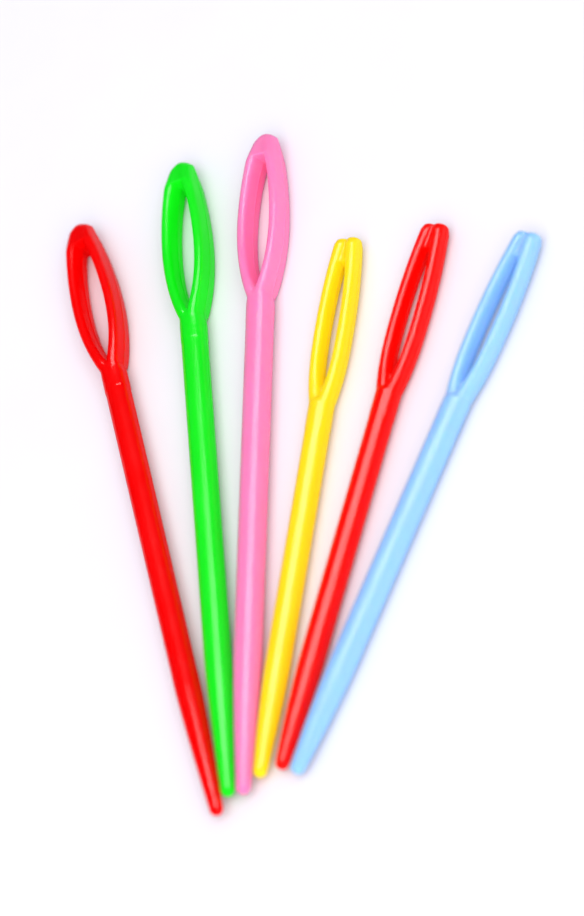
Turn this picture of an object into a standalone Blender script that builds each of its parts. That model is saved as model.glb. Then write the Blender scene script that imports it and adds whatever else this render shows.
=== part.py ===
"""Six large-eye plastic yarn needles, laid out in a fan on a flat table.

Three long needles (red, green, pink) have an arched eye: the two limbs of the loop meet in a round
arch at the top. Three short needles (yellow, red, blue) have a narrower eye whose limbs end side by
side, with a notch and a shallow web between them. Below the eye both patterns have a round shaft
that tapers over its last part to a blunt, round point.

Each needle is one moulding, and is built lying on its side: local Y runs from the point to the eye,
local X is across the eye, and local Z is up. The right half is lofted through sections across the
needle, and a Mirror modifier makes the left half.
"""

import math
from dataclasses import dataclass

import bmesh
import bpy

MM = 0.001


@dataclass(frozen=True)
class Pattern:
    """Dimensions of one needle pattern, in millimetres. 'at' is a distance down from the eye's top."""

    length: float
    shaft_radius: float
    point_radius: float
    taper_at: float
    taper_power: float
    widest_at: float
    neck_at: float
    spread_top: float
    spread_widest: float
    spread_neck: float
    upper_power: float
    lower_power: float
    limb_half_width: float
    limb_half_depth: float
    top_extra: float
    neck_extra: float
    end_round: float
    wedge_depth: float
    wedge_length: float
    arched: bool
    notch: float
    hole_from: float
    hole_to: float
    top_web: float
    low_web: float
    nose_at: float
    nose_length: float
    blend: float


LONG = Pattern(
    length=90.0,
    shaft_radius=1.65,
    point_radius=0.80,
    taper_at=72.0,
    taper_power=1.3,
    widest_at=13.0,
    neck_at=23.3,
    spread_top=0.60,
    spread_widest=2.22,
    spread_neck=0.60,
    upper_power=1.8,
    lower_power=2.1,
    limb_half_width=0.78,
    limb_half_depth=1.85,
    top_extra=0.43,
    neck_extra=0.20,
    end_round=1.2,
    wedge_depth=0.45,
    wedge_length=3.8,
    arched=True,
    notch=0.0,
    hole_from=3.8,
    hole_to=22.0,
    top_web=1.80,
    low_web=0.0,
    nose_at=21.7,
    nose_length=2.8,
    blend=0.40,
)

SHORT = Pattern(
    length=70.6,
    shaft_radius=1.56,
    point_radius=0.78,
    taper_at=56.0,
    taper_power=1.6,
    widest_at=12.0,
    neck_at=22.4,
    spread_top=0.76,
    spread_widest=1.60,
    spread_neck=0.70,
    upper_power=2.0,
    lower_power=2.5,
    limb_half_width=0.78,
    limb_half_depth=1.27,
    top_extra=0.10,
    neck_extra=0.20,
    end_round=0.4,
    wedge_depth=0.65,
    wedge_length=1.0,
    arched=False,
    notch=0.20,
    hole_from=3.5,
    hole_to=19.7,
    top_web=0.75,
    low_web=0.50,
    nose_at=21.4,
    nose_length=1.1,
    blend=0.14,
)

LIMB_SQUARENESS = 2.3      # exponent of the limbs' superellipse section; 2 is an ellipse
TOP_LENGTH = 8.0           # length over which the limbs thicken towards the eye's top
NECK_LENGTH = 6.0          # and towards the neck
WEB_EDGE = 0.30            # length of the rounding where a web meets the hole
SUNK_DEPTH = 0.82          # limb depth inside the shaft, as a share of the shaft's radius
SINK_LENGTH = 3.2          # length over which the limbs sink into the shaft
CREST = math.radians(10)   # half the angle of the flat land along each limb's crest and underside

# A section of the right half has an outer run, given by angles at the limb's centre with 0 facing
# out, and an inner run. OPEN_SPLIT is the angle where they meet, where the limbs stand apart.
FLANK_STEPS = 3
INNER_STEPS = 3
OPEN_SPLIT = math.radians(150)
CENTRE_LEAST = 0.45        # least distance of a section's centre from the needle's axis
MARCH_STEPS = 40           # steps of the search along a ray for the section's edge
HALVINGS = 24              # halvings that then pin the edge down

# Where the needle is lofted, as shares of the stretch that each name speaks of.
END_ANGLES = (24, 48, 68, 90)
NOTCH_SHARES = (0.12, 1.0)
EDGE_SHARES = (0.08, 0.45, 1.0)
NOSE_SHARES = (0.08, 0.35, 0.65, 1.0)
SINK_SHARES = (0.0, 0.25, 0.5, 1.05)
POINT_ANGLES = (25, 50, 72)
HOLE_STEPS = 10
TAPER_STEPS = 5
HOLE_END = 0.6             # first and last stretch of the hole, beside its rounded edges

# Needle name: pattern, colour, shaft girth against the pattern's, point x and y, heading from +Y
# towards +X. Lengths are in millimetres and headings in degrees.
NEEDLES = {
    "long_needle_red": (LONG, (0.90, 0.005, 0.005), 0.94, -3.33, -1.86, -14.9),
    "long_needle_green": (LONG, (0.015, 0.75, 0.03), 0.99, -1.99, 0.20, -6.4),
    "long_needle_pink": (LONG, (1.00, 0.20, 0.50), 1.03, 0.00, 0.00, 0.0),
    "short_needle_yellow": (SHORT, (1.00, 0.72, 0.02), 0.98, 1.90, 1.78, 8.2),
    "short_needle_red": (SHORT, (0.92, 0.008, 0.004), 0.97, 4.74, 2.11, 15.8),
    "short_needle_blue": (SHORT, (0.30, 0.62, 1.00), 1.06, 6.80, 0.95, 25.1),
}
ROUGHNESS = 0.28


def clear_scene():
    """Remove every object, so that the file holds only the needles."""
    for obj in list(bpy.data.objects):
        bpy.data.objects.remove(obj, do_unlink=True)


def quarter_round(distance, radius):
    """Height, from 0 to 1, of a quarter ellipse that starts at distance 0 and is full at radius."""
    if distance <= 0.0:
        return 0.0
    if distance >= radius:
        return 1.0
    return math.sqrt(1.0 - (1.0 - distance / radius) ** 2)


def smooth_step(x):
    """Ease from 0 to 1 as x goes from 0 to 1."""
    x = min(max(x, 0.0), 1.0)
    return x * x * (3.0 - 2.0 * x)


def smooth_min(a, b, radius):
    """Smaller of two distances, with a fillet of about the given radius where they are equal."""
    h = max(radius - abs(a - b), 0.0) / radius
    return min(a, b) - h * h * radius / 4.0


def limb_extra(p, at):
    """Extra half width of a limb near the eye's ends. All of it goes on the hole's side."""
    top = max(1.0 - at / TOP_LENGTH, 0.0)
    neck = min(max(1.0 - (p.neck_at - at) / NECK_LENGTH, 0.0), 1.0)
    return p.top_extra * top ** 2 + p.neck_extra * neck ** 2


def limb_spread(p, at):
    """Distance of a limb's centre line from the needle's axis."""
    if at < p.widest_at:
        x = 1.0 - at / p.widest_at
        spread = p.spread_widest - (p.spread_widest - p.spread_top) * x ** p.upper_power
    else:
        x = min((at - p.widest_at) / (p.neck_at - p.widest_at), 1.0)
        spread = p.spread_widest - (p.spread_widest - p.spread_neck) * x ** p.lower_power
    spread -= limb_extra(p, at)
    if p.arched:
        spread *= quarter_round(at, p.end_round)
    return spread


def end_shape(p, at):
    """Depth, as a share of the full depth, near the eye's top: a wedge with a rounded end."""
    slope = p.wedge_depth + (1.0 - p.wedge_depth) * at / p.wedge_length
    return min(slope, 1.0) * quarter_round(at, p.end_round)


def limb_size(p, girth, at):
    """Half width and half depth of a limb: wedged at the top, sinking into the shaft at the neck."""
    sunk = smooth_step((at - p.neck_at + SINK_LENGTH / 2) / SINK_LENGTH)
    sunk_depth = SUNK_DEPTH * p.shaft_radius * girth
    depth = p.limb_half_depth + (sunk_depth - p.limb_half_depth) * sunk
    width = (p.limb_half_width + limb_extra(p, at)) * quarter_round(at, p.end_round)
    return width, depth * end_shape(p, at)


def shaft_radius(p, girth, at):
    """Radius of the shaft: an ellipsoidal nose in the eye, a straight run, a taper, a round point."""
    radius = p.shaft_radius
    if at > p.taper_at:
        x = (at - p.taper_at) / (p.length - p.taper_at)
        radius -= (p.shaft_radius - p.point_radius) * x ** p.taper_power
    nose = quarter_round(at - p.nose_at, p.nose_length)
    point = quarter_round(p.length - at, p.point_radius)
    return radius * girth * nose * point


def web_half_depth(p, at):
    """Half depth of the web that joins the limbs above and below the hole, or 0 in the hole."""
    top_start = quarter_round(at - p.notch, WEB_EDGE) if p.notch else end_shape(p, at)
    top = p.top_web * top_start * quarter_round(p.hole_from - at, WEB_EDGE)
    low = p.low_web * quarter_round(at - p.hole_to, WEB_EDGE)
    if at > p.neck_at:
        return 0.0
    return max(top, low)


def limb_distance(x, z, centre, width, depth):
    """Signed distance, about, from a point to one limb's superellipse section."""
    if width <= 0.0 or depth <= 0.0:
        return math.inf
    across = (abs(x - centre) / width) ** LIMB_SQUARENESS
    up = (abs(z) / depth) ** LIMB_SQUARENESS
    return ((across + up) ** (1.0 / LIMB_SQUARENESS) - 1.0) * min(width, depth)


def section_distance(p, girth, at, x, z):
    """Signed distance, about, from a point to the needle's section: negative inside."""
    radius = shaft_radius(p, girth, at)
    distance = math.hypot(x, z) - radius if radius > 0.0 else math.inf
    if at > p.neck_at + SINK_LENGTH:
        return distance
    centre = limb_spread(p, at)
    width, depth = limb_size(p, girth, at)
    for side in (centre, -centre):
        limb = limb_distance(x, z, side, width, depth)
        distance = limb if distance == math.inf else smooth_min(distance, limb, p.blend)
    web = web_half_depth(p, at)
    if web > 0.0:
        slab = max(abs(x) - centre, abs(z) - web)
        distance = smooth_min(distance, slab, p.blend)
    return distance


def edge_along(p, girth, at, start, direction, reach):
    """Distance along a ray to the section's edge, or reach if the ray stays inside the section."""
    inside = 0.0
    for i in range(1, MARCH_STEPS + 1):
        outside = reach * i / MARCH_STEPS
        x = start + direction[0] * outside
        z = direction[1] * outside
        if section_distance(p, girth, at, x, z) > 0.0:
            break
        inside = outside
    else:
        return reach
    for _ in range(HALVINGS):
        middle = (inside + outside) / 2
        x = start + direction[0] * middle
        z = direction[1] * middle
        if section_distance(p, girth, at, x, z) > 0.0:
            outside = middle
        else:
            inside = middle
    return (inside + outside) / 2


def section_ring(p, girth, at):
    """Right half of the section: its points, and whether its inner side lies on the mirror plane.

    The outer run goes from the top corner, round the outside, to the bottom corner. The inner run
    goes back up. Where the needle is solid across, the inner run lies on the mirror plane. The rays
    fan out over the limb's ellipse in the eye, and over a circle in the shaft.
    """
    far = 4.0 * p.spread_widest
    solid = section_distance(p, girth, at, 0.0, 0.0) < 0.0
    width, depth = limb_size(p, girth, at) if at <= p.neck_at else (1.0, 1.0)
    if at > p.neck_at + SINK_LENGTH:
        start = CENTRE_LEAST * shaft_radius(p, girth, at) / p.shaft_radius
    else:
        start = max(limb_spread(p, at), CENTRE_LEAST * quarter_round(at, p.end_round))
    split = OPEN_SPLIT
    if solid:
        corner = edge_along(p, girth, at, 0.0, (0.0, 1.0), far)
        split = math.atan2(corner / depth, -start / width)
    crest = math.pi / 2 + CREST
    flank = [math.pi / 2 - CREST]
    flank += [flank[0] * (1.0 - 2.0 * i / (2 * FLANK_STEPS - 1)) for i in range(1, FLANK_STEPS)]
    upper = [split, (split + crest) / 2, crest] + flank
    angles = upper + [-angle for angle in reversed(upper)]
    inner_start = -split
    inner_sweep = 2.0 * math.pi - 2.0 * split
    angles += [inner_start - inner_sweep * i / INNER_STEPS for i in range(1, INNER_STEPS)]
    last_outer = 2 * len(upper) - 1
    ring = []
    for index, angle in enumerate(angles):
        direction = (width * math.cos(angle), depth * math.sin(angle))
        size = math.hypot(*direction)
        direction = (direction[0] / size, direction[1] / size)
        if solid and index in (0, last_outer):
            ring.append((0.0, corner if index == 0 else -corner))
        elif solid and index > last_outer:
            share = (index - last_outer) / INNER_STEPS
            ring.append((0.0, corner * (2.0 * share - 1.0)))
        else:
            reach = far if direction[0] >= 0.0 else min(far, start / -direction[0])
            distance = edge_along(p, girth, at, start, direction, reach)
            ring.append((start + direction[0] * distance, direction[1] * distance))
    return ring, solid, last_outer


def stations(p):
    """Distances down from the eye's top at which the needle is lofted."""
    at = [p.end_round * (1.0 - math.cos(math.radians(angle))) for angle in END_ANGLES]
    if p.notch:
        at += [p.notch + WEB_EDGE * share for share in NOTCH_SHARES]
    at += [p.hole_from - WEB_EDGE * share for share in EDGE_SHARES]
    at += [p.hole_from, p.hole_from + HOLE_END]
    hole = p.hole_to - p.hole_from
    at += [p.hole_from + hole * i / HOLE_STEPS for i in range(1, HOLE_STEPS)]
    at += [p.hole_to - HOLE_END, p.hole_to]
    at += [p.hole_to + WEB_EDGE * share for share in EDGE_SHARES]
    at += [p.nose_at + p.nose_length * share for share in NOSE_SHARES]
    at += [p.neck_at + SINK_LENGTH * share for share in SINK_SHARES]
    taper = p.length - p.taper_at - p.point_radius
    at += [p.taper_at + taper * i / TAPER_STEPS for i in range(TAPER_STEPS + 1)]
    point = [p.point_radius * (1.0 - math.sin(math.radians(angle))) for angle in POINT_ANGLES]
    at += [p.length - rise for rise in point]
    return sorted(set(round(value, 4) for value in at))


def loft_half(p, girth):
    """Mesh of the needle's right half, open on the mirror plane where the needle is solid."""
    bm = bmesh.new()
    rings = []
    for at in stations(p):
        points, solid, last_outer = section_ring(p, girth, at)
        y = (p.length - at) * MM
        verts = [bm.verts.new((x * MM, y, z * MM)) for x, z in points]
        rings.append((verts, solid))
    count = len(rings[0][0])
    for (first, first_solid), (second, second_solid) in zip(rings, rings[1:]):
        sides = last_outer if first_solid and second_solid else count
        for i in range(sides):
            j = (i + 1) % count
            bm.faces.new((first[j], first[i], second[i], second[j]))
    top, top_solid = rings[0]
    top_x = 0.0 if top_solid else limb_spread(p, 0.0)
    close_end(bm, top, top_x, p.length, last_outer if top_solid else count, True)
    close_end(bm, rings[-1][0], 0.0, 0.0, last_outer, False)
    loose = [vertex for vertex in bm.verts if not vertex.link_faces]
    bmesh.ops.delete(bm, geom=loose, context="VERTS")
    bmesh.ops.triangulate(bm, faces=bm.faces[:])
    mesh = bpy.data.meshes.new("needle_half")
    bm.to_mesh(mesh)
    bm.free()
    return mesh


def close_end(bm, ring, x, y, sides, at_top):
    """Close one end of the half with a fan of triangles round its end point."""
    apex = bm.verts.new((x * MM, y * MM, 0.0))
    for i in range(sides):
        j = (i + 1) % len(ring)
        bm.faces.new((ring[i], ring[j], apex) if at_top else (ring[j], ring[i], apex))


def plastic(name, colour):
    """Glossy moulded plastic of one colour."""
    material = bpy.data.materials.new(name)
    material.use_nodes = True
    shader = material.node_tree.nodes["Principled BSDF"]
    shader.inputs["Base Color"].default_value = (*colour, 1.0)
    shader.inputs["Roughness"].default_value = ROUGHNESS
    shader.inputs["Metallic"].default_value = 0.0
    return material


def rest_height(p, girth):
    """Height of a lying needle's axis: it rests on its limbs or on its shaft, whichever is deeper."""
    land = math.cos(CREST) ** LIMB_SQUARENESS + math.sin(CREST) ** LIMB_SQUARENESS
    limb_height = p.limb_half_depth * math.cos(CREST) / land ** (1.0 / LIMB_SQUARENESS)
    return max(limb_height, p.shaft_radius * girth)


def make_needle(name, fan, p, colour, girth, x, y, heading):
    """One needle, lying on the table with its point at (x, y) and its eye in the heading."""
    mesh = loft_half(p, girth)
    mesh.materials.append(plastic(name + "_plastic", colour))
    needle = bpy.data.objects.new(name, mesh)
    bpy.context.collection.objects.link(needle)
    needle.parent = fan
    needle.location = (x * MM, y * MM, rest_height(p, girth) * MM)
    needle.rotation_euler = (0.0, 0.0, -math.radians(heading))
    mirror = needle.modifiers.new("left half", "MIRROR")
    mirror.use_axis = (True, False, False)
    mirror.merge_threshold = 0.000001
    mesh.shade_smooth()
    return needle


def centre_fan(fan, needles):
    """Move the fan so that the middle of its footprint is the origin."""
    bpy.context.view_layer.update()
    depsgraph = bpy.context.evaluated_depsgraph_get()
    corners = []
    for needle in needles:
        evaluated = needle.evaluated_get(depsgraph)
        corners += [evaluated.matrix_world @ vertex.co for vertex in evaluated.data.vertices]
    for axis in (0, 1):
        values = [corner[axis] for corner in corners]
        fan.location[axis] = -(min(values) + max(values)) / 2


def main():
    clear_scene()
    fan = bpy.data.objects.new("needle_fan", None)
    bpy.context.collection.objects.link(fan)
    needles = [make_needle(name, fan, *dimensions) for name, dimensions in NEEDLES.items()]
    centre_fan(fan, needles)


main()
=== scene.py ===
"""Six large-eye plastic yarn needles in a fan on a white table: the visual model round the CAD frame.

Each CAD needle gives its place, and this script lofts a finer surface for it from the same pattern
dimensions. It adds drafted walls to the eye's limbs, the mould's parting line and a soft edge where
the top's wedge begins. Lengths are in millimetres until a mesh is made. Local axes: X across the
eye, Y from point to eye, Z up.
"""

import math
from dataclasses import dataclass

import bpy
import numpy as np
from mathutils import Matrix, Vector

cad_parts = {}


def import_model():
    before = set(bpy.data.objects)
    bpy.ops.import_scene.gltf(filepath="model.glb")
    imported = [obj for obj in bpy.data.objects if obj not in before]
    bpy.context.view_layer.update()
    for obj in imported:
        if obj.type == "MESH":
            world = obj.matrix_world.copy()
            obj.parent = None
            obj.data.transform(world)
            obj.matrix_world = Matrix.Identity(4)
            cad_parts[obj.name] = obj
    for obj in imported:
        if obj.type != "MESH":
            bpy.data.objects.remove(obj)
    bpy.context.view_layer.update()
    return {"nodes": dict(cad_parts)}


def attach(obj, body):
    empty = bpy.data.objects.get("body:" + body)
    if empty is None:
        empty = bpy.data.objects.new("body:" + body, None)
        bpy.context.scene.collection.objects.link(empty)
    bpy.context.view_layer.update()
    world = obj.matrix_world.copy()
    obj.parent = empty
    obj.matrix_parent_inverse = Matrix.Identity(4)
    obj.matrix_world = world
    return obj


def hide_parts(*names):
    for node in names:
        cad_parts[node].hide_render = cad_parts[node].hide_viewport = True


MM = 0.001


# ---------------------------------------------------------------- needle patterns

@dataclass(frozen=True)
class Pattern:
    """Dimensions of one needle pattern, in millimetres. 'at' is a distance down from the eye's top."""

    length: float
    shaft_radius: float
    point_radius: float
    taper_at: float         # where the shaft starts to narrow to its point
    taper_power: float
    widest_at: float        # where the eye is widest
    neck_at: float          # where the limbs meet the shaft
    spread_top: float       # limb's centre line from the axis: at the top, the widest place, the neck
    spread_widest: float
    spread_neck: float
    upper_power: float      # how the spread curves above and below the widest place
    lower_power: float
    limb_half_width: float
    limb_half_depth: float
    top_extra: float        # extra half width of a limb at the top and at the neck
    neck_extra: float
    end_round: float        # length of the rounding at the eye's top
    wedge_depth: float      # share of a limb's depth that is left at the top of the wedge
    wedge_length: float
    arched: bool            # the two limbs meet in an arch
    notch: float            # how far down the web starts between the limbs' ends
    hole_from: float
    hole_to: float
    top_web: float          # half depth of the web above the hole, and of the one below it
    low_web: float
    nose_at: float          # where the shaft's rounded nose starts, inside the eye
    nose_length: float
    blend: float            # fillet where two of these shapes meet


LONG = Pattern(
    length=90.0,
    shaft_radius=1.65,
    point_radius=0.80,
    taper_at=72.0,
    taper_power=1.3,
    widest_at=13.0,
    neck_at=23.3,
    spread_top=0.60,
    spread_widest=2.22,
    spread_neck=0.60,
    upper_power=1.8,
    lower_power=2.1,
    limb_half_width=0.78,
    limb_half_depth=1.85,
    top_extra=0.43,
    neck_extra=0.20,
    end_round=1.2,
    wedge_depth=0.45,
    wedge_length=3.8,
    arched=True,
    notch=0.0,
    hole_from=3.8,
    hole_to=22.0,
    top_web=1.80,
    low_web=0.0,
    nose_at=21.7,
    nose_length=2.8,
    blend=0.40,
)

SHORT = Pattern(
    length=70.6,
    shaft_radius=1.56,
    point_radius=0.78,
    taper_at=56.0,
    taper_power=1.6,
    widest_at=12.0,
    neck_at=22.4,
    spread_top=0.76,
    spread_widest=1.60,
    spread_neck=0.70,
    upper_power=2.0,
    lower_power=2.5,
    limb_half_width=0.78,
    limb_half_depth=1.27,
    top_extra=0.10,
    neck_extra=0.20,
    end_round=0.4,
    wedge_depth=0.65,
    wedge_length=1.0,
    arched=False,
    notch=0.20,
    hole_from=3.5,
    hole_to=19.7,
    top_web=0.75,
    low_web=0.50,
    nose_at=21.4,
    nose_length=1.1,
    blend=0.14,
)

LIMB_DRAFT = 0.13          # how much the limbs' walls lean in, up and down from the parting plane
TOP_LENGTH = 8.0           # length over which the limbs thicken towards the eye's top
NECK_LENGTH = 6.0          # and towards the neck
CREASE = 0.06              # rounding where the top's wedge begins, as a share of the limb's depth
WEB_EDGE = 0.30            # length of the rounding where a web meets the hole
SUNK_DEPTH = 0.82          # limb depth inside the shaft, as a share of the shaft's radius
SINK_LENGTH = 3.2          # length over which the limbs sink into the shaft
RIDGE_HEIGHT = 0.065       # parting line, where the two halves of the mould met
RIDGE_WIDTH = 0.09
RIDGE_END = 1.2            # length over which the parting line fades out at each end

INWARD_FROM = 0.35         # where a limb starts to face the hole, as a share of its half width
INWARD_OVER = 0.45         # share of the half width over which it turns to face the hole fully
INWARD_END = 0.8           # length over which that fades out below the hole
HOLE_SHADE_GAMMA = 1.12        # painted shade: how much deeper the colour is made inside the hole

FAR = 1000.0               # distance to a shape that isn't there
CENTRE_LEAST = 0.45        # least distance of a section's centre from the needle's axis
OPEN_SPLIT = math.radians(165)     # where the outer run ends and the inner run begins in the eye
WEB_STEPS = 12             # points between the mirror plane and the loop's first angle
# Angles of the section's points, in degrees: close together near the parting line, at 0 outside and
# at 180 inside. The inner ones are offsets from 180.
LOOP_ANGLES = (100, 92, 84, 76, 68, 60, 52, 44, 37, 30, 24, 18, 13, 9, 6, 4, 2.4, 1.2, 0)
INNER_OFFSETS = (10, 6.5, 4, 2.4, 1.2, 0, -1.2, -2.4, -4, -6.5, -10)
MARCH_STEPS = 60           # coarse steps along a ray, then halvings to find the edge
HALVINGS = 22

# Spacing of the sections along a needle, region by region, and how far the finest regions reach.
WEB_STEP = 0.14
CREASE_STEP = 0.06
EYE_STEP = 0.28
NECK_STEP = 0.13
SHAFT_STEP = 1.4
TAPER_STEP = 0.8
LEAST_STEP = 0.004
CREASE_REACH = 0.4         # each side of the place where the top's wedge begins
HOLE_END_REACH = 1.5       # above the hole's lower end
NECK_REACH = 0.6           # below the place where the limbs have sunk into the shaft


# ---------------------------------------------------------------- looks and stage settings

# Body: CAD node, material slot, pattern, shaft girth against the pattern's, pigment, pigment where
# it is densest, and how far red, green and blue light spread under the skin.
NEEDLES = {
    "red_long": ("long_needle_red", "red_plastic", LONG, 0.94,
                 (0.82, 0.0012, 0.0016), (0.77, 0.001, 0.001), (2.0, 0.10, 0.08)),
    "green_long": ("long_needle_green", "green_plastic", LONG, 0.99,
                   (0.012, 0.78, 0.018), (0.008, 0.72, 0.012), (0.15, 2.0, 0.15)),
    "pink_long": ("long_needle_pink", "pink_plastic", LONG, 1.03,
                  (0.93, 0.23, 0.45), (0.92, 0.21, 0.42), (3.0, 0.35, 0.7)),
    "yellow_short": ("short_needle_yellow", "yellow_plastic", SHORT, 0.98,
                     (0.93, 0.68, 0.014), (0.92, 0.64, 0.010), (3.0, 2.0, 0.1)),
    "red_short": ("short_needle_red", "orange_red_plastic", SHORT, 0.97,
                  (0.88, 0.006, 0.003), (0.84, 0.003, 0.001), (2.5, 0.10, 0.06)),
    "blue_short": ("short_needle_blue", "blue_plastic", SHORT, 1.06,
                   (0.29, 0.53, 0.86), (0.27, 0.50, 0.84), (0.6, 1.6, 3.0)),
}

ROUGH_LOW = 0.14
ROUGH_HIGH = 0.19
SCRATCH_ROUGH = 0.06       # extra roughness in the handling scratches
SPECULAR = 0.24
INWARD_SPECULAR = 0.07     # inside the hole, where there is little but the other limb to reflect
PLASTIC_IOR = 1.50
SUBSURFACE = 0.60
SCATTER_LENGTH = 1.5
PAINTED_GLOW = 0.19                # painted light: emission on upright walls, as a share of their colour, standing in for light coming through the plastic

# Noise scales across, along and up through a needle, per metre, and relief heights in metres.
FLOW_SCALE = (500.0, 45.0, 500.0)
CLOUD_SCALE = (260.0, 120.0, 260.0)
PATCH_SCALE = (300.0, 300.0, 300.0)
SCRATCH_SCALE = (9000.0, 350.0, 9000.0)
WAVE_SCALE = (420.0, 160.0, 420.0)
GRAIN_SCALE = (6000.0, 6000.0, 6000.0)
WAVE_HEIGHT = 8e-6
GRAIN_HEIGHT = 2e-7
SCRATCH_DEPTH = 4e-7

FLOOR_DROP = -0.03         # the table lies a hair below the needles
CARD_LOW = (0.81, 0.81, 0.825, 1.0)
CARD_HIGH = (0.83, 0.83, 0.835, 1.0)
CARD_PAINTED_REFLECTION = (0.38, 0.38, 0.38, 1.0)   # painted reflection: the card's colour as the plastic reflects it, dimmer than it is, so that the plastic's walls keep their colour
CARD_MOTTLE = 60.0         # noise scales, per metre
CARD_TOOTH = 5000.0
TOOTH_HEIGHT = 2e-5
CARD_ROUGH = 0.7
CARD_SPECULAR = 0.1

AIM = (-1.18, 0.50, 0.0)   # what the camera and the lights point at
CAMERA_ELEVATION = 46.73
CAMERA_AZIMUTH = 41.52     # from the front, towards the right
CAMERA_ROLL = 48.68
CAMERA_DISTANCE = 854.2
SENSOR = 36.0
LENS = 286.2
F_STOP = 18.0
FOCUS = (-8.0, 24.0, 1.5)

ROOM_COLOUR = (0.93, 0.90, 1.07, 1.0)
ROOM_LIGHT = 0.70
LIGHT_ACROSS = (0.96, 0.27, 0.0)   # the way that each light's width runs

# Name: direction, distance in metres, width, height, power in watts, colour, role.
LIGHTS = {
    "front": ((0.34, -0.50, 0.80), 1.20, 1.44, 1.44, 16.2, (1.0, 1.0, 1.0), "fill"),
    "softbox": ((0.38, 0.28, 0.88), 0.80, 0.70, 0.58, 12.2, (1.0, 1.0, 1.0), "shine"),
}


# ---------------------------------------------------------------- section of a needle

def quarter_round(distance, radius):
    """Height, from 0 to 1, of a quarter ellipse that starts at distance 0 and is full at radius."""
    inner = np.clip(distance / radius, 0.0, 1.0)
    return np.sqrt(1.0 - (1.0 - inner) ** 2)


def smooth_step(x):
    """Ease from 0 to 1 as x goes from 0 to 1."""
    x = np.clip(x, 0.0, 1.0)
    return x * x * (3.0 - 2.0 * x)


def smooth_min(a, b, radius):
    """Smaller of two distances, with a fillet of about the given radius where they are equal."""
    h = np.maximum(radius - np.abs(a - b), 0.0) / radius
    return np.minimum(a, b) - h * h * radius / 4.0


def limb_extra(p, at):
    """Extra half width of a limb near the eye's ends. All of it goes on the hole's side."""
    top = np.clip(1.0 - at / TOP_LENGTH, 0.0, 1.0)
    neck = np.clip(1.0 - (p.neck_at - at) / NECK_LENGTH, 0.0, 1.0)
    return p.top_extra * top ** 2 + p.neck_extra * neck ** 2


def limb_spread(p, at):
    """Distance of a limb's centre line from the needle's axis."""
    above = np.clip(1.0 - at / p.widest_at, 0.0, 1.0)
    below = np.clip((at - p.widest_at) / (p.neck_at - p.widest_at), 0.0, 1.0)
    upper = (p.spread_widest - p.spread_top) * above ** p.upper_power
    lower = (p.spread_widest - p.spread_neck) * below ** p.lower_power
    spread = p.spread_widest - upper - lower - limb_extra(p, at)
    return spread * quarter_round(at, p.end_round) if p.arched else spread


def end_shape(p, at):
    """Depth, as a share of the full depth, near the eye's top: a wedge with a rounded end."""
    slope = p.wedge_depth + (1.0 - p.wedge_depth) * at / p.wedge_length
    return smooth_min(slope, 1.0, CREASE) * quarter_round(at, p.end_round)


def limb_size(p, girth, at):
    """Half width and half depth of a limb: wedged at the top, sinking into the shaft at the neck."""
    sunk = smooth_step((at - p.neck_at + SINK_LENGTH / 2) / SINK_LENGTH)
    sunk_depth = SUNK_DEPTH * p.shaft_radius * girth
    depth = p.limb_half_depth + (sunk_depth - p.limb_half_depth) * sunk
    width = (p.limb_half_width + limb_extra(p, at)) * quarter_round(at, p.end_round)
    return width, depth * end_shape(p, at)


def shaft_radius(p, girth, at):
    """Radius of the shaft: an ellipsoidal nose in the eye, a straight run, a taper, a round point."""
    x = np.clip((at - p.taper_at) / (p.length - p.taper_at), 0.0, 1.0)
    radius = p.shaft_radius - (p.shaft_radius - p.point_radius) * x ** p.taper_power
    nose = quarter_round(at - p.nose_at, p.nose_length)
    point = quarter_round(p.length - at, p.point_radius)
    return radius * girth * nose * point


def web_half_depth(p, at):
    """Half depth of the web that joins the limbs above and below the hole, or 0 in the hole."""
    start = quarter_round(at - p.notch, WEB_EDGE) if p.notch else end_shape(p, at)
    top = p.top_web * start * quarter_round(p.hole_from - at, WEB_EDGE)
    low = p.low_web * quarter_round(at - p.hole_to, WEB_EDGE)
    return np.where(at > p.neck_at, 0.0, np.maximum(top, low))


def limb_distance(x, z, centre, width, depth):
    """Signed distance, about, from a point to a limb's section: drafted walls with round crests."""
    crest = np.minimum(width - LIMB_DRAFT * depth, depth)
    above = np.maximum(np.abs(z) - (depth - crest), 0.0)
    return np.hypot(x - centre, above) - (width - LIMB_DRAFT * np.abs(z))


def section_distance(p, girth, at, x, z):
    """Signed distance, about, from a point to the needle's section: negative inside."""
    radius = shaft_radius(p, girth, at)
    distance = np.where(radius > 0.0, np.hypot(x, z) - radius, FAR)
    centre = limb_spread(p, at)
    width, depth = limb_size(p, girth, at)
    in_eye = at <= p.neck_at + SINK_LENGTH
    for side in (centre, -centre):
        limb = np.where(in_eye, limb_distance(x, z, side, width, depth), FAR)
        distance = smooth_min(distance, limb, p.blend)
    web = web_half_depth(p, at)
    slab = np.maximum(np.abs(x) - centre, np.abs(z) - web)
    return smooth_min(distance, np.where(web > 0.0, slab, FAR), p.blend)


def edge_along(p, girth, at, start, across, up, reach):
    """Distance along each ray to the section's edge, or reach where a ray stays inside."""
    inside = np.zeros(np.broadcast(at, start, across).shape)
    outside = inside + reach
    going = np.ones(inside.shape, bool)
    for i in range(1, MARCH_STEPS + 1):
        distance = reach * i / MARCH_STEPS + np.zeros(inside.shape)
        beyond = section_distance(p, girth, at, start + across * distance, up * distance) > 0.0
        outside = np.where(going & beyond, distance, outside)
        going &= ~beyond
        inside = np.where(going, distance, inside)
    for _ in range(HALVINGS):
        middle = (inside + outside) / 2
        beyond = section_distance(p, girth, at, start + across * middle, up * middle) > 0.0
        outside = np.where(beyond, middle, outside)
        inside = np.where(beyond, inside, middle)
    return (inside + outside) / 2


# ---------------------------------------------------------------- loft

def quarter_steps(start, length, count):
    """Stations that follow a rounding of the given length, close together where it is steep."""
    angles = np.linspace(0.0, math.pi / 2, count + 1)[1:]
    return start + length * (1.0 - np.cos(angles))


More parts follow.
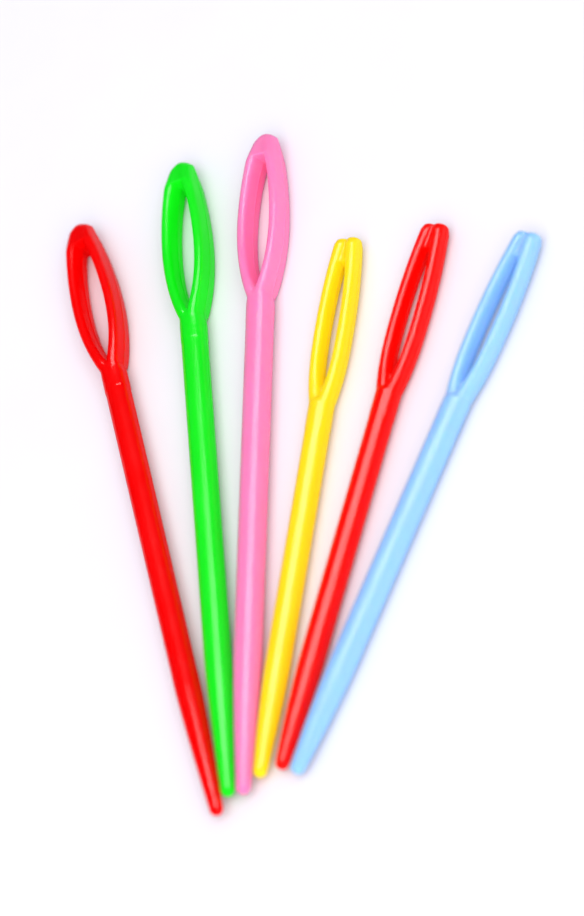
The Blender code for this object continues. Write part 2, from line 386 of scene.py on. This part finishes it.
def stations(p):
    """Distances down from the eye's top at which the needle is lofted."""
    neck_end = p.neck_at + SINK_LENGTH + NECK_REACH
    parts = [
        quarter_steps(0.0, p.end_round, 14),
        np.arange(p.end_round, p.hole_from - WEB_EDGE, WEB_STEP),
        quarter_steps(p.hole_from, -WEB_EDGE, 14),
        np.arange(p.wedge_length - CREASE_REACH, p.wedge_length + CREASE_REACH, CREASE_STEP),
        np.arange(p.hole_from, p.hole_to, EYE_STEP),
        np.arange(p.hole_to - HOLE_END_REACH, p.hole_to, CREASE_STEP),
        quarter_steps(p.hole_to, WEB_EDGE, 14),
        quarter_steps(p.nose_at, p.nose_length, 16),
        np.arange(p.hole_to + WEB_EDGE, neck_end, NECK_STEP),
        np.arange(neck_end, p.taper_at, SHAFT_STEP),
        np.arange(p.taper_at, p.length - p.point_radius, TAPER_STEP),
        quarter_steps(p.length, -p.point_radius, 14)[::-1],
    ]
    if p.notch:
        parts.append(quarter_steps(p.notch, WEB_EDGE, 10))
    at = np.unique(np.round(np.concatenate(parts), 4))
    return at[np.concatenate([[True], np.diff(at) > LEAST_STEP])]


def half_sections(p, girth, at):
    """Right half of each section.

    Returns the points, how far each faces into the hole, which sections are solid across and the
    outer run's end.

    Each section's outer run goes from the top corner, round the outside, to the bottom corner, and
    its inner run goes back up. In a solid section the inner run lies on the mirror plane.
    """
    at = at[:, None]
    far = 4.0 * p.spread_widest
    zero = np.zeros_like(at)
    solid = section_distance(p, girth, at, zero, zero) < 0.0
    corner = edge_along(p, girth, at, zero, zero, zero + 1.0, far)
    width, depth = limb_size(p, girth, at)
    to_shaft = smooth_step((at - p.neck_at + SINK_LENGTH) / (2.0 * SINK_LENGTH))
    width = np.maximum(width + (1.0 - width) * to_shaft, 1e-3)
    depth = np.maximum(depth + (1.0 - depth) * to_shaft, 1e-3)
    least = CENTRE_LEAST * quarter_round(at, p.end_round)
    low = CENTRE_LEAST * shaft_radius(p, girth, at) / p.shaft_radius
    start = np.maximum(limb_spread(p, at), least)
    start = start + (low - start) * to_shaft
    split = np.where(solid, np.arctan2(corner / depth, -start / width), OPEN_SPLIT)

    loop = np.radians(LOOP_ANGLES)[None, :]
    share = np.arange(WEB_STEPS)[None, :] / WEB_STEPS
    upper = np.concatenate([split + (loop[:, :1] - split) * share, loop + zero], axis=1)
    outer = np.concatenate([upper, -upper[:, -2::-1]], axis=1)
    inner = np.radians(INNER_OFFSETS)[None, :] - math.pi + zero
    angles = np.concatenate([outer, inner], axis=1)
    across = width * np.cos(angles)
    up = depth * np.sin(angles)
    size = np.hypot(across, up)
    across, up = across / size, up / size
    reach = np.where(across < 0.0, np.minimum(far, start / np.maximum(-across, 1e-9)), far)
    distance = edge_along(p, girth, at, start, across, up, reach)
    x = start + across * distance
    z = up * distance

    last_outer = outer.shape[1] - 1
    inner_share = -np.array(INNER_OFFSETS)[None, :] / math.degrees(math.pi - OPEN_SPLIT)
    flat = np.concatenate([corner, -corner, corner * inner_share], axis=1)
    columns = [0, last_outer] + list(range(last_outer + 1, angles.shape[1]))
    x[:, columns] = np.where(solid, 0.0, x[:, columns])
    z[:, columns] = np.where(solid, flat, z[:, columns])
    inward = smooth_step(((start - x) / width - INWARD_FROM) / INWARD_OVER)
    inward *= smooth_step((at - p.hole_from) / WEB_EDGE + 1.0)
    inward *= smooth_step((p.hole_to + INWARD_END - at) / INWARD_END)
    ends = smooth_step(at / RIDGE_END) * smooth_step((p.length - at) / RIDGE_END)
    ridge = RIDGE_HEIGHT * np.exp(-(z / RIDGE_WIDTH) ** 2) * ends
    x[:, 1:last_outer] += ridge[:, 1:last_outer]
    x[:, last_outer + 1:] -= np.where(solid, 0.0, ridge[:, last_outer + 1:])
    return np.stack([x, z], axis=2), inward, solid[:, 0], last_outer


def loft(p, girth):
    """Vertices, in millimetres, how far each faces into the hole, and faces of a closed surface."""
    at = stations(p)
    points, inward, solid, last_outer = half_sections(p, girth, at)
    count = points.shape[1]
    rings = len(at)
    right = np.arange(rings * count).reshape(rings, count)
    left = right + rings * count
    on_mirror = np.zeros((rings, count), bool)
    on_mirror[:, [0, last_outer]] = solid[:, None]
    on_mirror[:, last_outer + 1:] = solid[:, None]
    left = np.where(on_mirror, right, left)
    y = np.broadcast_to((p.length - at)[:, None], (rings, count))
    half = np.stack([points[:, :, 0], y, points[:, :, 1]], axis=2).reshape(-1, 3)
    verts = [half, half * (-1.0, 1.0, 1.0)]
    inwards = [inward.ravel(), inward.ravel()]

    faces = []
    for i in range(rings - 1):
        sides = last_outer if solid[i] and solid[i + 1] else count
        k = np.arange(sides)
        j = (k + 1) % count
        faces.append(np.stack([right[i, j], right[i, k], right[i + 1, k], right[i + 1, j]], 1))
        faces.append(np.stack([left[i, k], left[i, j], left[i + 1, j], left[i + 1, k]], 1))
    faces = [tuple(face) for face in np.concatenate(faces).tolist()]

    total = 2 * rings * count
    top_x = 0.0 if solid[0] else p.spread_top
    ends = [(0, right, top_x, p.length, False), (0, left, -top_x, p.length, True)]
    ends += [(rings - 1, right, 0.0, 0.0, True), (rings - 1, left, 0.0, 0.0, False)]
    apexes = {}
    for ring, grid, x, end_y, turned in ends:
        key = (round(x, 6), end_y)
        if key not in apexes:
            apexes[key] = total
            verts.append(np.array([[x, end_y, 0.0]]))
            inwards.append(np.zeros(1))
            total += 1
        apex = apexes[key]
        sides = last_outer if solid[ring] else count
        for k in range(sides):
            a = int(grid[ring, k])
            b = int(grid[ring, (k + 1) % count])
            faces.append((b, a, apex) if turned else (a, b, apex))
    return compact(np.concatenate(verts), np.concatenate(inwards), faces)


def compact(verts, inwards, faces):
    """The same surface with unused vertices dropped."""
    used = np.zeros(len(verts), bool)
    for face in faces:
        used[list(face)] = True
    index = np.cumsum(used) - 1
    return verts[used], inwards[used], [tuple(int(index[v]) for v in face) for face in faces]


# ---------------------------------------------------------------- node materials

class Nodes:
    """Small helper that adds and links shader nodes in one tree."""

    def __init__(self, tree):
        self.tree = tree

    def add(self, kind, settings=None, **inputs):
        """A node with its properties set and its inputs given as values or as sockets to link."""
        node = self.tree.nodes.new(kind)
        for name, value in (settings or {}).items():
            setattr(node, name, value)
        for name, value in inputs.items():
            self.put(node.inputs[name.replace("_", " ")], value)
        return node

    def put(self, socket, value):
        if isinstance(value, bpy.types.NodeSocket):
            self.tree.links.new(value, socket)
        else:
            socket.default_value = value

    def math(self, operation, a, b=0.0):
        node = self.tree.nodes.new("ShaderNodeMath")
        node.operation = operation
        self.put(node.inputs[0], a)
        self.put(node.inputs[1], b)
        return node.outputs[0]

    def mix(self, factor, a, b):
        """Colour between a and b."""
        node = self.tree.nodes.new("ShaderNodeMix")
        node.data_type = "RGBA"
        self.put(node.inputs[0], factor)
        self.put(node.inputs[6], a)
        self.put(node.inputs[7], b)
        return node.outputs[2]

    def ramp(self, value, low, high, out_low, out_high):
        """Value mapped from one range to another, held at the ends."""
        node = self.tree.nodes.new("ShaderNodeMapRange")
        for socket, item in zip(node.inputs, (value, low, high, out_low, out_high)):
            self.put(socket, item)
        return node.outputs[0]

    def noise(self, vector, scale, detail=2.0, roughness=0.5):
        node = self.add("ShaderNodeTexNoise", Scale=scale, Detail=detail, Roughness=roughness)
        self.put(node.inputs["Vector"], vector)
        return node.outputs["Fac"]

    def stretched(self, coordinates, scale):
        """Coordinates scaled by a different factor on each axis."""
        node = self.add("ShaderNodeMapping", {"vector_type": "POINT"}, Scale=scale)
        self.put(node.inputs["Vector"], coordinates)
        return node.outputs[0]


def new_material(name):
    """Empty node material, with its Principled shader."""
    material = bpy.data.materials.new(name)
    material.use_nodes = True
    return material, Nodes(material.node_tree), material.node_tree.nodes["Principled BSDF"]


def plastic(name, colour, deep, scatter):
    """Glossy moulded plastic.

    The pigment drifts a little along the needle as it flowed in the mould, the skin has a faint
    waviness and fine handling scratches along its length. Light bleeds through it by subsurface
    scattering. Painted light: a weak emission of the colour where a wall stands upright. Painted
    shade: a deeper colour where the limbs face into the hole.
    """
    material, nodes, shader = new_material(name)
    place = nodes.add("ShaderNodeTexCoord").outputs["Object"]
    flow = nodes.noise(nodes.stretched(place, FLOW_SCALE), 1.0, 3.0)
    cloud = nodes.noise(nodes.stretched(place, CLOUD_SCALE), 1.0, 2.0)
    drift = nodes.math("MULTIPLY", nodes.math("ADD", flow, cloud), 0.5)
    share = nodes.ramp(drift, 0.35, 0.65, 0.0, 1.0)
    skin = nodes.mix(share, (*deep, 1.0), (*colour, 1.0))
    inward = nodes.add("ShaderNodeAttribute", {"attribute_name": "inward"}).outputs["Fac"]
    # Painted shade: where a limb faces into the hole its colour is deepened, standing in for light
    # bounced between the limbs.
    hole_shaded_skin = nodes.add("ShaderNodeGamma", Color=skin, Gamma=HOLE_SHADE_GAMMA).outputs[0]
    pigment_and_hole_shade = nodes.mix(inward, skin, hole_shaded_skin)
    nodes.put(shader.inputs["Base Color"], pigment_and_hole_shade)
    # Painted light: upright walls glow a little in their own colour, though the plastic is no lamp.
    normal = nodes.add("ShaderNodeNewGeometry").outputs["Normal"]
    facing = nodes.add("ShaderNodeSeparateXYZ", Vector=normal)
    upright = nodes.math("SUBTRACT", 1.0, nodes.math("ABSOLUTE", facing.outputs["Z"]))
    nodes.put(shader.inputs["Emission Color"], pigment_and_hole_shade)
    nodes.put(shader.inputs["Emission Strength"], nodes.math("MULTIPLY", upright, PAINTED_GLOW))

    fine = nodes.noise(nodes.stretched(place, SCRATCH_SCALE), 1.0, 2.0)
    patch = nodes.noise(nodes.stretched(place, PATCH_SCALE), 1.0, 2.0)
    scratches = nodes.ramp(fine, 0.62, 0.80, 0.0, 1.0)
    rough = nodes.math("ADD", nodes.ramp(patch, 0.3, 0.7, ROUGH_LOW, ROUGH_HIGH),
                       nodes.math("MULTIPLY", scratches, SCRATCH_ROUGH))
    nodes.put(shader.inputs["Roughness"], rough)

    wave = nodes.noise(nodes.stretched(place, WAVE_SCALE), 1.0, 1.0)
    grain = nodes.noise(nodes.stretched(place, GRAIN_SCALE), 1.0, 1.0)
    height = nodes.math("ADD", nodes.math("MULTIPLY", wave, WAVE_HEIGHT),
                        nodes.math("MULTIPLY", grain, GRAIN_HEIGHT))
    height = nodes.math("SUBTRACT", height, nodes.math("MULTIPLY", scratches, SCRATCH_DEPTH))
    bump = nodes.add("ShaderNodeBump", Strength=1.0, Distance=1.0, Height=height)
    nodes.put(shader.inputs["Normal"], bump.outputs[0])

    shader.inputs["IOR"].default_value = PLASTIC_IOR
    shine = nodes.ramp(inward, 0.0, 1.0, SPECULAR, INWARD_SPECULAR)
    nodes.put(shader.inputs["Specular IOR Level"], shine)
    shader.inputs["Subsurface Weight"].default_value = SUBSURFACE
    shader.inputs["Subsurface Radius"].default_value = scatter
    shader.inputs["Subsurface Scale"].default_value = SCATTER_LENGTH * MM
    return material


# ---------------------------------------------------------------- stage

def paper_white():
    """White table: a smooth pale card, with a faint mottle and tooth."""
    material, nodes, shader = new_material("white_card")
    place = nodes.add("ShaderNodeTexCoord").outputs["Object"]
    mottle = nodes.noise(place, CARD_MOTTLE, 3.0)
    colour = nodes.mix(nodes.ramp(mottle, 0.3, 0.7, 0.0, 1.0), CARD_LOW, CARD_HIGH)
    # Painted reflection: glossy rays see a dimmer card than the camera does.
    reflected = nodes.add("ShaderNodeLightPath").outputs["Is Glossy Ray"]
    nodes.put(shader.inputs["Base Color"], nodes.mix(reflected, colour, CARD_PAINTED_REFLECTION))
    tooth = nodes.noise(place, CARD_TOOTH, 2.0)
    bump = nodes.add("ShaderNodeBump", Strength=0.15, Distance=TOOTH_HEIGHT, Height=tooth)
    nodes.put(shader.inputs["Normal"], bump.outputs[0])
    shader.inputs["Roughness"].default_value = CARD_ROUGH
    shader.inputs["Specular IOR Level"].default_value = CARD_SPECULAR
    return material


def add_floor():
    """Round white floor, just under the needles."""
    rings = (0.0, 0.1, 0.3, 1.0, 3.0)
    sides = 96
    verts = [(0.0, 0.0, 0.0)]
    faces = []
    for radius in rings[1:]:
        for i in range(sides):
            angle = 2.0 * math.pi * i / sides
            verts.append((radius * math.cos(angle), radius * math.sin(angle), 0.0))
    for i in range(sides):
        j = (i + 1) % sides
        faces.append((0, 1 + i, 1 + j))
        for ring in range(len(rings) - 2):
            inner = 1 + ring * sides
            outer = inner + sides
            faces.append((inner + i, outer + i, outer + j, inner + j))
    mesh = bpy.data.meshes.new("floor")
    mesh.from_pydata(verts, [], faces)
    mesh.materials.append(paper_white())
    floor = bpy.data.objects.new("floor", mesh)
    floor.location.z = FLOOR_DROP * MM
    bpy.context.scene.collection.objects.link(floor)


def add_area_light(name, towards, distance, width, height, power, colour, role):
    """Rectangular light that faces the needles, its width along LIGHT_ACROSS.

    towards is the direction to it from the needles. A "shine" light is only seen in the plastic's
    reflections, and a "fill" light never is.
    """
    light = bpy.data.lights.new(name, "AREA")
    light.shape = "RECTANGLE"
    light.size = width
    light.size_y = height
    light.energy = power
    light.color = colour
    lamp = bpy.data.objects.new(name, light)
    direction = Vector(towards).normalized()
    along = Vector(LIGHT_ACROSS)
    along = (along - direction * along.dot(direction)).normalized()
    turn = Matrix((along, direction.cross(along), direction)).transposed().to_4x4()
    lamp.matrix_world = Matrix.Translation(Vector(AIM) * MM + direction * distance) @ turn
    lamp.visible_diffuse = role != "shine"
    lamp.visible_glossy = role != "fill"
    lamp.visible_camera = False
    bpy.context.scene.collection.objects.link(lamp)
    return lamp


def add_world():
    """Pale surroundings: white where the camera sees them, and absent from reflections."""
    world = bpy.data.worlds.new("pale_room")
    bpy.context.scene.world = world
    world.use_nodes = True
    world.cycles_visibility.glossy = False
    tree = world.node_tree
    tree.nodes.clear()
    nodes = Nodes(tree)
    path = nodes.add("ShaderNodeLightPath")
    seen = nodes.add("ShaderNodeBackground", Color=(1.0, 1.0, 1.0, 1.0), Strength=1.0)
    glow = nodes.add("ShaderNodeBackground", Color=ROOM_COLOUR, Strength=ROOM_LIGHT)
    either = nodes.add("ShaderNodeMixShader")
    nodes.put(either.inputs[0], path.outputs["Is Camera Ray"])
    nodes.put(either.inputs[1], glow.outputs[0])
    nodes.put(either.inputs[2], seen.outputs[0])
    output = nodes.add("ShaderNodeOutputWorld")
    nodes.put(output.inputs[0], either.outputs[0])


def add_camera():
    """Long-lens camera over the points' end, turned so that the fan spreads upward."""
    elevation, azimuth, roll = (math.radians(a) for a in (CAMERA_ELEVATION, CAMERA_AZIMUTH, CAMERA_ROLL))
    back = Vector((
        math.sin(azimuth) * math.cos(elevation),
        -math.cos(azimuth) * math.cos(elevation),
        math.sin(elevation),
    ))
    level = Vector((math.cos(azimuth), math.sin(azimuth), 0.0))
    below = (-back).cross(level)
    right = math.cos(roll) * level + math.sin(roll) * below
    up = back.cross(right)
    camera = bpy.data.cameras.new("camera")
    camera.sensor_width = SENSOR
    camera.lens = LENS
    camera.clip_start = 0.01
    holder = bpy.data.objects.new("camera", camera)
    turn = Matrix((right, up, back)).transposed().to_4x4()
    place = Vector(AIM) * MM + back * CAMERA_DISTANCE * MM
    holder.matrix_world = Matrix.Translation(place) @ turn
    bpy.context.scene.collection.objects.link(holder)
    bpy.context.scene.camera = holder
    focus = bpy.data.objects.new("focus", None)
    focus.location = Vector(FOCUS) * MM
    bpy.context.scene.collection.objects.link(focus)
    camera.dof.use_dof = True
    camera.dof.focus_object = focus
    camera.dof.aperture_fstop = F_STOP


# ---------------------------------------------------------------- needles

def solid_axis(node):
    """Matrix of a CAD needle's local frame in metres: its point, its heading and its axis height."""
    points = np.array([vertex.co for vertex in node.data.vertices])
    points = np.unique(np.round(points, 7), axis=0)
    centre = points.mean(axis=0)
    values, vectors = np.linalg.eigh(np.cov((points - centre).T[:2]))
    along = vectors[:, 1] * np.sign(vectors[1, 1])
    shares = (points - centre)[:, :2] @ along
    start = centre[:2] + along * shares.min()
    height = (points[:, 2].min() + points[:, 2].max()) / 2
    y_axis = Vector((along[0], along[1], 0.0))
    x_axis = Vector((along[1], -along[0], 0.0))
    z_axis = Vector((0.0, 0.0, 1.0))
    turn = Matrix((x_axis, y_axis, z_axis)).transposed().to_4x4()
    return Matrix.Translation((start[0], start[1], height)) @ turn


def make_needle(frame, body, settings):
    """Fine surface of one needle, in place of its CAD solid."""
    node, slot, pattern, girth, colour, deep, scatter = settings
    verts, inwards, faces = loft(pattern, girth)
    mesh = bpy.data.meshes.new(node + "_surface")
    mesh.from_pydata((verts * MM).tolist(), [], faces)
    attribute = mesh.attributes.new("inward", "FLOAT", "POINT")
    attribute.data.foreach_set("value", inwards.astype(np.float32))
    mesh.materials.append(plastic(slot, colour, deep, scatter))
    mesh.shade_smooth()
    needle = bpy.data.objects.new(node + "_moulding", mesh)
    bpy.context.scene.collection.objects.link(needle)
    needle.matrix_world = solid_axis(frame["nodes"][node])
    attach(needle, body)
    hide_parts(node)
    return needle


def main():
    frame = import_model()
    for body, settings in NEEDLES.items():
        make_needle(frame, body, settings)
    add_floor()
    for name, settings in LIGHTS.items():
        add_area_light(name, *settings)
    add_world()
    add_camera()
    bpy.context.scene.view_settings.view_transform = "Standard"


main()
